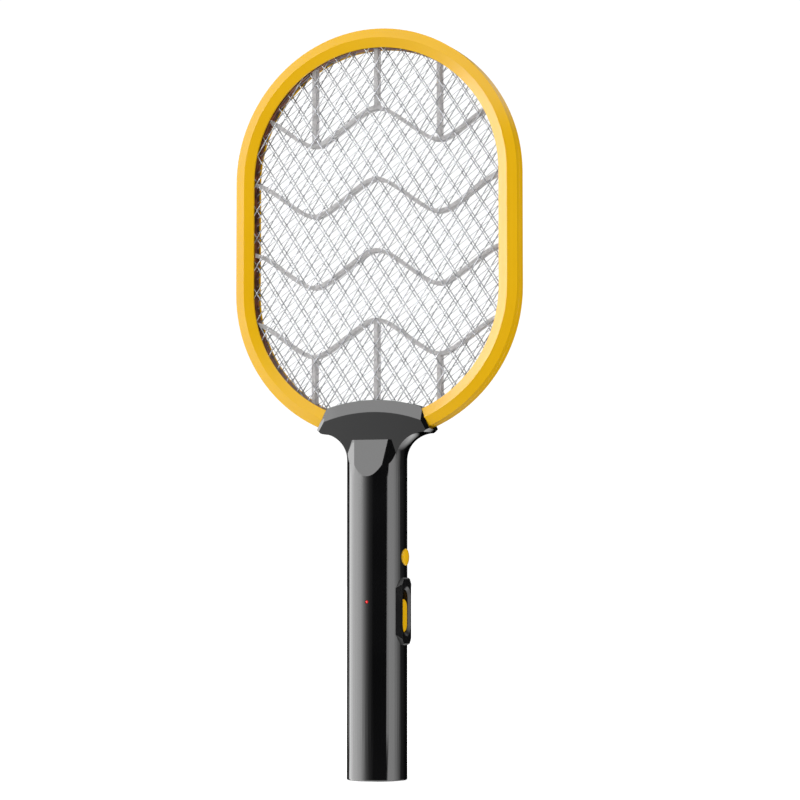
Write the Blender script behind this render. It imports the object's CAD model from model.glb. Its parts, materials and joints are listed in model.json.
import json
import math

import bpy
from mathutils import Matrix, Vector

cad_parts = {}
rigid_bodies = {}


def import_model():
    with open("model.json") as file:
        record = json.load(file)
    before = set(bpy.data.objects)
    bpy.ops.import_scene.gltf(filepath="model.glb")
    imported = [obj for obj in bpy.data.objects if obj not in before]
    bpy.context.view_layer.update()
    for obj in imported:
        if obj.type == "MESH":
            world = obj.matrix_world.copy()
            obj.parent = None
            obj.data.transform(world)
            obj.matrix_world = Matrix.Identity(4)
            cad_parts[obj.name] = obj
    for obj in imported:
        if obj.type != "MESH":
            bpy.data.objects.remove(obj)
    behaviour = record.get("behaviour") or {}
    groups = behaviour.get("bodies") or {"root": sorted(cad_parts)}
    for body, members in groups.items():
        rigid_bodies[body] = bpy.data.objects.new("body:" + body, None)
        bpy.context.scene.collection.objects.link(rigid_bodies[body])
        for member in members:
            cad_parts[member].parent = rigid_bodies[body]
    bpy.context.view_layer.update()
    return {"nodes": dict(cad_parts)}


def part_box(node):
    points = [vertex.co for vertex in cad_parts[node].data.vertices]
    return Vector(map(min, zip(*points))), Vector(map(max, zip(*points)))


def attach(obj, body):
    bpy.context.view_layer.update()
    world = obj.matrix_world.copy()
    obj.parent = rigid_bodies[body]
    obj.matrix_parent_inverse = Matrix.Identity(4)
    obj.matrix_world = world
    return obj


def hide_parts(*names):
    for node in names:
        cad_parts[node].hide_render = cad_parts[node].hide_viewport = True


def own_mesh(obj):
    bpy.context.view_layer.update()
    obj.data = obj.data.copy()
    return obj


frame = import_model()
mm = 0.001
print("frame loaded:", len(frame["nodes"]), "nodes")


# ---- small tools ----

def linearColour(hexCode):
    # sRGB hex to the linear colour that a shader socket holds
    channels = [int(hexCode[i:i + 2], 16) / 255 for i in (1, 3, 5)]
    return tuple(c / 12.92 if c <= 0.04045 else ((c + 0.055) / 1.055) ** 2.4 for c in channels) + (1,)


def addNode(tree, kind, settings=None, links=None):
    # one shader node with its settings and the sockets that feed it
    node = tree.nodes.new(kind)
    for key, value in (settings or {}).items():
        if isinstance(key, int) or key in node.inputs:
            node.inputs[key].default_value = value
        else:
            setattr(node, key, value)
    for key, source in (links or {}).items():
        tree.links.new(source, node.inputs[key])
    return node


def newMaterial(name):
    material = bpy.data.materials.new(name)
    material.use_nodes = True
    material.node_tree.nodes.clear()
    return material, material.node_tree


def setRamp(ramp, stops):
    # stops are (position, colour) pairs
    elements = ramp.color_ramp.elements
    while len(elements) < len(stops):
        elements.new(0.5)
    for element, (position, colour) in zip(elements, stops):
        element.position = position
        element.color = colour


def grey(value):
    return (value, value, value, 1)


def selectOnly(piece):
    bpy.ops.object.select_all(action="DESELECT")
    piece.select_set(True)
    bpy.context.view_layer.objects.active = piece


def applyModifier(piece, kind, **settings):
    modifier = piece.modifiers.new(kind.lower(), kind)
    for key, value in settings.items():
        setattr(modifier, key, value)
    bpy.ops.object.modifier_apply(modifier=modifier.name)


def finishPiece(piece, name, body, material, smoothDegrees=30):
    # names the piece, gives it its body and finish, and leaves it at the origin
    selectOnly(piece)
    bpy.ops.object.transform_apply(location=True, rotation=True, scale=True)
    piece.name = name
    piece.data.materials.clear()
    piece.data.materials.append(material)
    bpy.ops.object.shade_smooth_by_angle(angle=math.radians(smoothDegrees))
    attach(piece, body)
    return piece


def roundedCopy(node, name, body, material, edge, sharpDegrees=24, segments=3, loopHeights=()):
    # the moulded form of a CAD node: the same shape with its sharp edges rounded off,
    # and level loops that keep the shading of the long faces even
    selectOnly(frame["nodes"][node])
    bpy.ops.object.duplicate()
    piece = bpy.context.view_layer.objects.active
    bpy.ops.object.mode_set(mode="EDIT")
    bpy.ops.mesh.select_all(action="SELECT")
    bpy.ops.mesh.remove_doubles(threshold=0.004 * mm)
    bpy.ops.mesh.dissolve_limited(angle_limit=math.radians(0.4))
    for height in loopHeights:
        bpy.ops.mesh.select_all(action="SELECT")
        bpy.ops.mesh.bisect(plane_co=(0, 0, height * mm), plane_no=(0, 0, 1))
    bpy.ops.object.mode_set(mode="OBJECT")
    applyModifier(piece, "BEVEL", width=edge, segments=segments, limit_method="ANGLE",
                  angle_limit=math.radians(sharpDegrees), harden_normals=False)
    finishPiece(piece, name, body, material, 60)
    applyModifier(piece, "WEIGHTED_NORMAL", keep_sharp=True, weight=100)
    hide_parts(node)
    return piece


# ---- materials ----

def mouldedPlastic(name, finish):
    # two close shades wander over the part, the gloss varies a little, and the skin has a fine orange peel
    material, tree = newMaterial(name)
    place = addNode(tree, "ShaderNodeTexCoord").outputs["Object"]
    cloud = addNode(tree, "ShaderNodeTexNoise", {"Scale": 1 / (finish["cloudMm"] * mm), "Detail": 3},
                    {"Vector": place}).outputs["Fac"]
    peel = addNode(tree, "ShaderNodeTexNoise", {"Scale": 1 / (finish["peelMm"] * mm), "Detail": 2},
                   {"Vector": place}).outputs["Fac"]
    shade = addNode(tree, "ShaderNodeValToRGB", links={"Fac": cloud})
    setRamp(shade, [(0.3, linearColour(finish["dark"])), (0.7, linearColour(finish["light"]))])
    gloss = addNode(tree, "ShaderNodeMapRange", {"To Min": finish["rough"][0], "To Max": finish["rough"][1]},
                    {"Value": cloud}).outputs["Result"]
    bump = addNode(tree, "ShaderNodeBump", {"Strength": finish["bump"], "Distance": 0.02 * mm},
                   {"Height": peel}).outputs["Normal"]
    shader = addNode(tree, "ShaderNodeBsdfPrincipled",
                     {"IOR": finish.get("ior", 1.53), "Transmission Weight": finish.get("clear", 0.0),
                      "Coat Weight": finish.get("coat", 0.0), "Coat Roughness": 0.06},
                     {"Base Color": shade.outputs["Color"], "Roughness": gloss, "Normal": bump})
    addNode(tree, "ShaderNodeOutputMaterial", links={"Surface": shader.outputs["BSDF"]})
    return material


def bareMetal(name, finish):
    # drawn or plated metal: the tone and the gloss drift over a few millimetres
    material, tree = newMaterial(name)
    place = addNode(tree, "ShaderNodeTexCoord").outputs["Object"]
    drift = addNode(tree, "ShaderNodeTexNoise", {"Scale": 1 / (finish["driftMm"] * mm), "Detail": 4},
                    {"Vector": place}).outputs["Fac"]
    shade = addNode(tree, "ShaderNodeValToRGB", links={"Fac": drift})
    setRamp(shade, [(0.35, linearColour(finish["dark"])), (0.65, linearColour(finish["light"]))])
    gloss = addNode(tree, "ShaderNodeMapRange", {"To Min": finish["rough"][0], "To Max": finish["rough"][1]},
                    {"Value": drift}).outputs["Result"]
    shader = addNode(tree, "ShaderNodeBsdfPrincipled", {"Metallic": 1.0},
                     {"Base Color": shade.outputs["Color"], "Roughness": gloss})
    addNode(tree, "ShaderNodeOutputMaterial", links={"Surface": shader.outputs["BSDF"]})
    return material


# ABS moulded in a polished tool: saturated yellow, a faint ripple; index kept below real ABS
yellowAbs = mouldedPlastic("yellowPolishedAbs", {
    "dark": "#EBB404", "light": "#F0BA08", "rough": (0.16, 0.22), "cloudMm": 60, "peelMm": 1.6, "bump": 0.10,
    "ior": 1.30})
# The same ABS in black, polished like piano lacquer
blackAbs = mouldedPlastic("blackPolishedAbs", {
    "dark": "#111112", "light": "#161617", "rough": (0.07, 0.11), "cloudMm": 50, "peelMm": 2.2, "bump": 0.06})
# Black ABS with a satin skin, on the switch surround; index kept below real ABS
satinBlack = mouldedPlastic("satinBlackAbs", {
    "dark": "#0E0E0F", "light": "#131314", "rough": (0.30, 0.38), "cloudMm": 12, "peelMm": 0.6, "bump": 0.15,
    "ior": 1.40})
# Dark brown phenolic insulator, duller and slightly mottled
brownInsulator = mouldedPlastic("brownPhenolic", {
    "dark": "#2A140A", "light": "#8A4A26", "rough": (0.35, 0.55), "cloudMm": 5, "peelMm": 0.7, "bump": 0.25})
# Frosted plastic web: light grey, lets the background through; index kept below real polycarbonate
frostedWeb = mouldedPlastic("frostedPolycarbonate", {
    "dark": "#C4C2C3", "light": "#F0EEEE", "rough": (0.25, 0.50), "cloudMm": 1.8, "peelMm": 0.8,
    "bump": 0.6, "clear": 0.5, "ior": 1.25})
ivoryNylon = mouldedPlastic("ivoryNylon", {
    "dark": "#CFCDC4", "light": "#DEDCD3", "rough": (0.40, 0.50), "cloudMm": 6, "peelMm": 0.5, "bump": 0.15})
blackNylon = mouldedPlastic("blackGlassNylon", {
    "dark": "#1D1F21", "light": "#2B2D30", "rough": (0.45, 0.60), "cloudMm": 4, "peelMm": 0.4, "bump": 0.3})
solderMask = mouldedPlastic("greenSolderMask", {
    "dark": "#1F5B2C", "light": "#2E7A3C", "rough": (0.25, 0.35), "cloudMm": 9, "peelMm": 0.6, "bump": 0.1})
ferrite = mouldedPlastic("sinteredFerrite", {
    "dark": "#2C2C2E", "light": "#47474A", "rough": (0.55, 0.75), "cloudMm": 2, "peelMm": 0.3, "bump": 0.5})
dippedOrange = mouldedPlastic("orangeDippedEpoxy", {
    "dark": "#9E3F10", "light": "#C05A1C", "rough": (0.18, 0.28), "cloudMm": 6, "peelMm": 1.2, "bump": 0.3})
dippedBlue = mouldedPlastic("blueDippedEpoxy", {
    "dark": "#1E4A96", "light": "#2C62B4", "rough": (0.18, 0.28), "cloudMm": 5, "peelMm": 1.2, "bump": 0.3})
blackEpoxy = mouldedPlastic("blackMouldedEpoxy", {
    "dark": "#1B1B1D", "light": "#2A2A2C", "rough": (0.50, 0.65), "cloudMm": 3, "peelMm": 0.3, "bump": 0.3})
resistorLacquer = mouldedPlastic("tanResistorLacquer", {
    "dark": "#B99258", "light": "#D2B27C", "rough": (0.25, 0.35), "cloudMm": 3, "peelMm": 0.6, "bump": 0.2})
redSleeve = mouldedPlastic("redWireSleeve", {
    "dark": "#A01813", "light": "#C4261E", "rough": (0.30, 0.40), "cloudMm": 7, "peelMm": 0.5, "bump": 0.1})
blackSleeve = mouldedPlastic("blackWireSleeve", {
    "dark": "#151517", "light": "#242427", "rough": (0.30, 0.40), "cloudMm": 7, "peelMm": 0.5, "bump": 0.1})
# Zinc-dipped steel wire: light grey, soft shine with darker patches
galvanisedWire = bareMetal("galvanisedWire", {
    "dark": "#66676A", "light": "#9C9EA1", "rough": (0.30, 0.50), "driftMm": 3})
springSteel = bareMetal("drawnSpringSteel", {
    "dark": "#8A8B8E", "light": "#B5B6B9", "rough": (0.20, 0.32), "driftMm": 2})
nickelPlate = bareMetal("brightNickelPlate", {
    "dark": "#B3B1AB", "light": "#D2D0CA", "rough": (0.12, 0.25), "driftMm": 4})
enamelledCopper = bareMetal("enamelledCopper", {
    "dark": "#9A4A22", "light": "#C87440", "rough": (0.22, 0.35), "driftMm": 1})


def lampEpoxy():
    # red tinted epoxy that glows faintly from the chip behind it
    material, tree = newMaterial("redLampEpoxy")
    shader = addNode(tree, "ShaderNodeBsdfPrincipled",
                     {"Base Color": linearColour("#D00000"), "Roughness": 0.30, "IOR": 1.5,
                      "Emission Color": linearColour("#FF0000"), "Emission Strength": 0.35})
    addNode(tree, "ShaderNodeOutputMaterial", links={"Surface": shader.outputs["BSDF"]})
    return material


def cellJacket():
    # shrink-wrapped steel can: dark body with a plain lighter band round its upper part
    material, tree = newMaterial("cellJacketFilm")
    place = addNode(tree, "ShaderNodeTexCoord").outputs["Object"]
    height = addNode(tree, "ShaderNodeSeparateXYZ", links={"Vector": place}).outputs["Z"]
    low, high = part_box("battery_cell_left")[0][2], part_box("battery_cell_left")[1][2]
    along = addNode(tree, "ShaderNodeMapRange", {"From Min": low, "From Max": high},
                    {"Value": height}).outputs["Result"]
    band = addNode(tree, "ShaderNodeValToRGB", links={"Fac": along})
    band.color_ramp.interpolation = "CONSTANT"
    setRamp(band, [(0.0, linearColour("#26323C")), (0.74, linearColour("#9FA8AE"))])
    shader = addNode(tree, "ShaderNodeBsdfPrincipled", {"Metallic": 0.35, "Roughness": 0.28},
                     {"Base Color": band.outputs["Color"]})
    addNode(tree, "ShaderNodeOutputMaterial", links={"Surface": shader.outputs["BSDF"]})
    return material


lampRed = lampEpoxy()
cellFilm = cellJacket()
print("materials made")


# ---- moulded pieces: CAD shapes with their edges rounded ----

handleLoops = (30, 82, 128, 186, 190)   # mm above the base
roundedParts = [
    # node, piece, body, slot, material, edge radius in mm, widest angle left smooth in degrees, loop heights
    ("front_frame", "frontRim", "swatter", "yellow_abs", yellowAbs, 0.35, 24, ()),
    ("rear_frame", "rearRim", "swatter", "yellow_abs", yellowAbs, 0.35, 24, ()),
    ("front_housing", "frontHandleShell", "swatter", "black_abs", blackAbs, 0.22, 14, handleLoops),
    ("rear_housing", "rearHandleShell", "swatter", "black_abs", blackAbs, 0.22, 14, handleLoops),
    ("battery_door", "batteryDoorShell", "door", "black_abs", blackAbs, 0.18, 24, ()),
    ("switch_bezel", "switchBezelRing", "swatter", "black_abs", satinBlack, 0.30, 24, ()),
    ("switch_slider", "sliderPill", "slider", "yellow_abs", yellowAbs, 0.35, 24, ()),
    ("push_button", "pushButtonCap", "button", "yellow_abs", yellowAbs, 0.25, 24, ()),
]
for node, pieceName, body, slotName, material, edgeMm, sharpDegrees, loopHeights in roundedParts:
    roundedCopy(node, pieceName, body, material, edgeMm * mm, sharpDegrees, loopHeights=loopHeights)
print("moulded pieces rounded")


# ---- CAD nodes that keep their shape ----

nodeFinish = {
    brownInsulator: ["insulator_ring"],
    galvanisedWire: ["front_mesh", "rear_mesh", "centre_grid", "grid_bus_wire"],
    frostedWeb: ["front_web", "rear_web"],
    ivoryNylon: ["button_plunger", "switch_lever"],
    blackNylon: ["push_switch_body"],
    nickelPlate: ["slide_switch_body", "led_legs", "battery_contacts", "battery_bridge", "mesh_bridge",
                  "housing_screws"],
    lampRed: ["led_lens"],
    solderMask: ["main_pcb"],
    ferrite: ["transformer_core"],
    enamelledCopper: ["transformer_winding"],
    dippedOrange: ["hv_capacitor"],
    dippedBlue: ["multiplier_capacitors"],
    blackEpoxy: ["multiplier_diodes", "transistor"],
    resistorLacquer: ["resistors"],
    cellFilm: ["battery_cell_left", "battery_cell_right"],
    redSleeve: ["battery_leads", "grid_lead"],
    blackSleeve: ["mesh_lead"],
}
for material, nodes in nodeFinish.items():
    for node in nodes:
        cadNode = frame["nodes"][node]
        cadNode.data.materials.clear()
        cadNode.data.materials.append(material)
        selectOnly(cadNode)
        bpy.ops.object.shade_smooth_by_angle(angle=math.radians(32))
print("CAD nodes finished")


# ---- weld beads where the outer mesh wires cross ----

beadLook = {
    "radius": 0.52 * mm,
    "wireAngle": 57,            # degrees from horizontal
    "wireSpacing": 9.8 * mm,
    "depth": 4.0 * mm,          # the crossing's distance from the middle plane
    "edgeRoom": 1.5 * mm,       # no bead this close to the rim's lip
    "lipWidth": 2.6 * mm,       # how far the mesh runs under the rim
    "count": 42,                # beads along each direction before trimming
    "collarDepth": 8 * mm,      # no bead in the collar's middle below this depth from its top
    "collarHalfW": 40 * mm,
}


def weldBeads(name, side):
    # one squat bead, arrayed along both directions of the diamond lattice, trimmed to the opening
    look = beadLook
    low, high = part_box("front_mesh")
    roundR = (high[0] - low[0]) / 2
    lowZ, highZ = low[2] + roundR, high[2] - roundR
    rimR = roundR - look["lipWidth"] - look["edgeRoom"]
    halfW = look["wireSpacing"] / math.sin(math.radians(look["wireAngle"])) / 2
    halfH = look["wireSpacing"] / math.cos(math.radians(look["wireAngle"])) / 2
    start = (-look["count"] * halfW, side * look["depth"], (lowZ + highZ) / 2)
    bpy.ops.object.select_all(action="DESELECT")
    bpy.ops.mesh.primitive_ico_sphere_add(subdivisions=1, radius=look["radius"], location=start)
    piece = bpy.context.view_layer.objects.active
    bpy.ops.object.transform_apply(location=True, rotation=True, scale=True)
    for rise in (halfH, -halfH):
        applyModifier(piece, "ARRAY", count=look["count"], use_relative_offset=False,
                      use_constant_offset=True, constant_offset_displace=(halfW, 0, rise))
    bpy.ops.object.mode_set(mode="EDIT")
    bpy.ops.mesh.select_all(action="DESELECT")
    bpy.ops.object.mode_set(mode="OBJECT")
    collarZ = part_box("front_housing")[1][2] - look["collarDepth"]
    for vertex in piece.data.vertices:
        x, _, z = vertex.co
        nearestZ = min(max(z, lowZ), highZ)
        vertex.select = math.hypot(x, z - nearestZ) > rimR or (z < collarZ and abs(x) < look["collarHalfW"])
    bpy.ops.object.mode_set(mode="EDIT")
    bpy.ops.mesh.select_linked()
    bpy.ops.mesh.delete(type="VERT")
    bpy.ops.object.mode_set(mode="OBJECT")
    return finishPiece(piece, name, "swatter", galvanisedWire)


weldBeads("frontWeldBeads", -1)
weldBeads("rearWeldBeads", 1)
print("weld beads placed")


# ---- coil springs ----

def coilSpring(name, node, spec):
    # a helix with closed end turns, from one end face to the other, made of round wire
    low, high = (Vector(corner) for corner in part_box(node))
    base, top = spec["ends"](low, high)
    length = (top - base).length
    bpy.ops.object.select_all(action="DESELECT")
    bpy.ops.curve.primitive_nurbs_path_add(location=(0, 0, 0))
    curve = bpy.context.view_layer.objects.active
    curve.data.splines.clear()
    stepsPerTurn = 16
    closedTurns = 0.7
    steps = int(spec["turns"] * stepsPerTurn)
    spline = curve.data.splines.new("POLY")
    spline.points.add(steps)
    turnTo = (top - base).to_track_quat("Z", "Y")
    for i, point in enumerate(spline.points):
        t = i / steps
        lift = min(max((t * spec["turns"] - closedTurns) / (spec["turns"] - 2 * closedTurns), 0), 1)
        radius = spec["baseRadius"] + (spec["topRadius"] - spec["baseRadius"]) * lift
        around = 2 * math.pi * spec["turns"] * t
        wireR = spec["wire"] / 2
        local = Vector((radius * math.cos(around), radius * math.sin(around),
                        wireR + lift * (length - 2 * wireR)))
        point.co = (*(base + turnTo @ local), 1)
    curve.data.bevel_depth = spec["wire"] / 2
    curve.data.bevel_resolution = 3
    curve.data.use_fill_caps = True
    bpy.ops.object.convert(target="MESH")
    return bpy.context.view_layer.objects.active


buttonSpringSpec = {
    "turns": 4.5, "wire": 0.34 * mm, "baseRadius": 3.0 * mm, "topRadius": 3.0 * mm,
    "ends": lambda low, high: (Vector((low.x, 0, (low.z + high.z) / 2)),
                               Vector((high.x, 0, (low.z + high.z) / 2))),
}
buttonCoil = coilSpring("buttonCoil", "button_spring", buttonSpringSpec)
finishPiece(buttonCoil, "buttonCoil", "swatter", springSteel, 60)
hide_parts("button_spring")
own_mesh(buttonCoil)


def cellSpringSpec(cell, atTop):
    # the wide end stands on the contact and the narrow end presses on the cell
    cellLow, cellHigh = (Vector(corner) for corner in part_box(cell))
    middle = (cellLow + cellHigh) / 2
    if atTop:
        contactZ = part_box("battery_contacts")[0][2]
        ends = (Vector((middle.x, middle.y, contactZ)), Vector((middle.x, middle.y, cellHigh.z)))
    else:
        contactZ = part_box("battery_bridge")[1][2]
        ends = (Vector((middle.x, middle.y, contactZ)), Vector((middle.x, middle.y, cellLow.z)))
    return {"turns": 4.5, "wire": 0.6 * mm, "baseRadius": 5.4 * mm, "topRadius": 3.4 * mm,
            "ends": lambda low, high: ends}


lowerCoil = coilSpring("lowerCoil", "battery_springs", cellSpringSpec("battery_cell_left", False))
upperCoil = coilSpring("upperCoil", "battery_springs", cellSpringSpec("battery_cell_right", True))
bpy.ops.object.select_all(action="DESELECT")
lowerCoil.select_set(True)
upperCoil.select_set(True)
bpy.context.view_layer.objects.active = lowerCoil
bpy.ops.object.join()
cellCoils = bpy.context.view_layer.objects.active
finishPiece(cellCoils, "cellCoils", "swatter", springSteel, 60)
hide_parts("battery_springs")
print("springs wound")


# ---- studio ----

studio = {
    "viewAngle": 20.5,          # degrees round from the front towards the switches
    "distance": 1.70,
    "eyeHeight": 0.1278,
    "pitch": 3.77,
    "yaw": 0.487,
    "lens": 120.5,
    "backdrop": 1.05,           # brightness of the white behind the object
    "fill": 0.88,               # soft light from all round
    "mirrored": 6.5,            # brightness of the soft boxes in the gloss
    "floorGlow": 0.55,
}


def lightTent():
    # white tent for the eye, even fill for the diffuse light, and soft boxes that only the gloss mirrors
    world = bpy.data.worlds.new("lightTent")
    world.use_nodes = True
    bpy.context.scene.world = world
    tree = world.node_tree
    tree.nodes.clear()
    direction = addNode(tree, "ShaderNodeTexCoord").outputs["Generated"]
    axes = addNode(tree, "ShaderNodeSeparateXYZ", links={"Vector": direction})
    back = addNode(tree, "ShaderNodeMath", {"operation": "MULTIPLY", 1: -1.0}, {0: axes.outputs["Y"]})
    turn = addNode(tree, "ShaderNodeMath", {"operation": "ARCTAN2"},
                   {0: axes.outputs["X"], 1: back.outputs["Value"]}).outputs["Value"]
    around = addNode(tree, "ShaderNodeMapRange", {"From Min": -math.pi, "From Max": math.pi},
                     {"Value": turn}).outputs["Result"]
    sides = addNode(tree, "ShaderNodeValToRGB", links={"Fac": around})

    def at(degrees):
        return (degrees + 180) / 360

    setRamp(sides, [(at(-150), grey(0.0)), (at(-117), grey(0.0)), (at(-107), grey(0.88)),
                    (at(-62), grey(1.0)), (at(-44), grey(0.85)), (at(-31), grey(0.42)),
                    (at(-20), grey(0.15)), (at(-8), grey(0.04)), (at(6), grey(0.0)), (at(58), grey(0.0)),
                    (at(62), grey(0.66)), (at(86), grey(0.60)), (at(122), grey(0.02)),
                    (at(150), grey(0.0))])
    tilt = addNode(tree, "ShaderNodeMapRange", {"From Min": -1.0, "From Max": 1.0},
                   {"Value": axes.outputs["Z"]}).outputs["Result"]
    above = addNode(tree, "ShaderNodeValToRGB", links={"Fac": tilt})
    setRamp(above, [(0.65, grey(0.0)), (0.73, grey(0.75)), (0.96, grey(0.75)), (1.0, grey(0.4))])
    below = addNode(tree, "ShaderNodeValToRGB", links={"Fac": tilt})
    setRamp(below, [(0.0, grey(0.45)), (0.22, grey(0.40)), (0.33, grey(0.0))])
    canopy = addNode(tree, "ShaderNodeValToRGB", links={"Fac": around})
    setRamp(canopy, [(at(-160), grey(0.3)), (at(-120), grey(1.0)), (at(12), grey(1.0)), (at(30), grey(0.0)),
                     (at(140), grey(0.0)), (at(175), grey(0.3))])
    roof = addNode(tree, "ShaderNodeMix", {"data_type": "RGBA", "blend_type": "MULTIPLY", 0: 1.0},
                   {6: above.outputs["Color"], 7: canopy.outputs["Color"]}).outputs[2]
    level = addNode(tree, "ShaderNodeMix", {"data_type": "RGBA", "blend_type": "LIGHTEN", 0: 1.0},
                    {6: sides.outputs["Color"], 7: roof}).outputs[2]
    boxes = addNode(tree, "ShaderNodeMix", {"data_type": "RGBA", "blend_type": "LIGHTEN", 0: 1.0},
                    {6: level, 7: below.outputs["Color"]}).outputs[2]
    mirrored = addNode(tree, "ShaderNodeBackground", {"Strength": studio["mirrored"]}, {"Color": boxes})
    even = addNode(tree, "ShaderNodeBackground", {"Color": grey(1.0), "Strength": studio["fill"]})
    white = addNode(tree, "ShaderNodeBackground", {"Color": grey(1.0), "Strength": studio["backdrop"]})
    ray = addNode(tree, "ShaderNodeLightPath")
    lit = addNode(tree, "ShaderNodeMixShader", links={0: ray.outputs["Is Glossy Ray"], 1: even.outputs[0],
                                                      2: mirrored.outputs[0]})
    seen = addNode(tree, "ShaderNodeMath", {"operation": "MAXIMUM"},
                   {0: ray.outputs["Is Camera Ray"], 1: ray.outputs["Is Transmission Ray"]})
    whole = addNode(tree, "ShaderNodeMixShader", links={0: seen.outputs["Value"], 1: lit.outputs[0],
                                                        2: white.outputs[0]})
    addNode(tree, "ShaderNodeOutputWorld", links={"Surface": whole.outputs[0]})


def paleFloor():
    # seamless paper, wide enough that its far edge melts into the white
    bpy.ops.object.select_all(action="DESELECT")
    bpy.ops.mesh.primitive_plane_add(size=60, location=(0, 0, 0))
    floor = bpy.context.view_layer.objects.active
    floor.name = "paperFloor"
    material, tree = newMaterial("whitePaper")
    place = addNode(tree, "ShaderNodeTexCoord").outputs["Object"]
    fibre = addNode(tree, "ShaderNodeTexNoise", {"Scale": 900.0}, {"Vector": place}).outputs["Fac"]
    bump = addNode(tree, "ShaderNodeBump", {"Strength": 0.05, "Distance": 0.0001},
                   {"Height": fibre}).outputs["Normal"]
    shader = addNode(tree, "ShaderNodeBsdfPrincipled",
                     {"Base Color": grey(0.9), "Roughness": 0.9, "Specular IOR Level": 0.0,
                      "Emission Color": grey(1.0), "Emission Strength": studio["floorGlow"]},
                     {"Normal": bump})
    addNode(tree, "ShaderNodeOutputMaterial", links={"Surface": shader.outputs["BSDF"]})
    floor.data.materials.append(material)
    floor.visible_glossy = False
    floor.visible_diffuse = False


def softKey(name, azimuth, height, distance, size, power):
    # a square soft box aimed at the middle of the object
    angle = math.radians(azimuth)
    place = Vector((distance * math.sin(angle), -distance * math.cos(angle), height))
    bpy.ops.object.light_add(type="AREA", location=place)
    lamp = bpy.context.view_layer.objects.active
    lamp.name = name
    lamp.data.shape = "SQUARE"
    lamp.data.size = size
    lamp.data.energy = power
    lamp.rotation_euler = (Vector((0, 0, 0.3)) - place).to_track_quat("-Z", "Y").to_euler()
    lamp.visible_glossy = False


rimStripPlan = {
    "place": (-0.67, -0.66, 0.50),
    "aim": (0.67, 0.66, -0.15),
    "width": 0.28,
    "height": 0.50,
    "power": 5.5,
}


def rimStrip():
    # a tall strip that only the gloss mirrors: the pale band on the inner slope of the rim
    bpy.ops.object.light_add(type="AREA", location=rimStripPlan["place"])
    lamp = bpy.context.view_layer.objects.active
    lamp.name = "rimStrip"
    lamp.data.shape = "RECTANGLE"
    lamp.data.size = rimStripPlan["width"]
    lamp.data.size_y = rimStripPlan["height"]
    lamp.data.energy = rimStripPlan["power"]
    lamp.rotation_euler = Vector(rimStripPlan["aim"]).to_track_quat("-Z", "Y").to_euler()
    lamp.visible_diffuse = False
    lamp.visible_camera = False


def productCamera():
    angle = math.radians(studio["viewAngle"])
    place = (studio["distance"] * math.sin(angle), -studio["distance"] * math.cos(angle), studio["eyeHeight"])
    turn = (math.radians(90 + studio["pitch"]), 0, angle - math.radians(studio["yaw"]))
    bpy.ops.object.camera_add(location=place, rotation=turn)
    camera = bpy.context.view_layer.objects.active
    camera.data.lens = studio["lens"]
    camera.data.sensor_width = 36
    camera.data.clip_end = 200
    bpy.context.scene.camera = camera


bpy.context.scene.view_settings.view_transform = "Standard"
lightTent()
paleFloor()
softKey("keyBox", -50, 1.1, 1.6, 0.9, 5)
softKey("fillBox", 75, 0.7, 1.8, 0.9, 2)
rimStrip()
productCamera()
print("studio set")
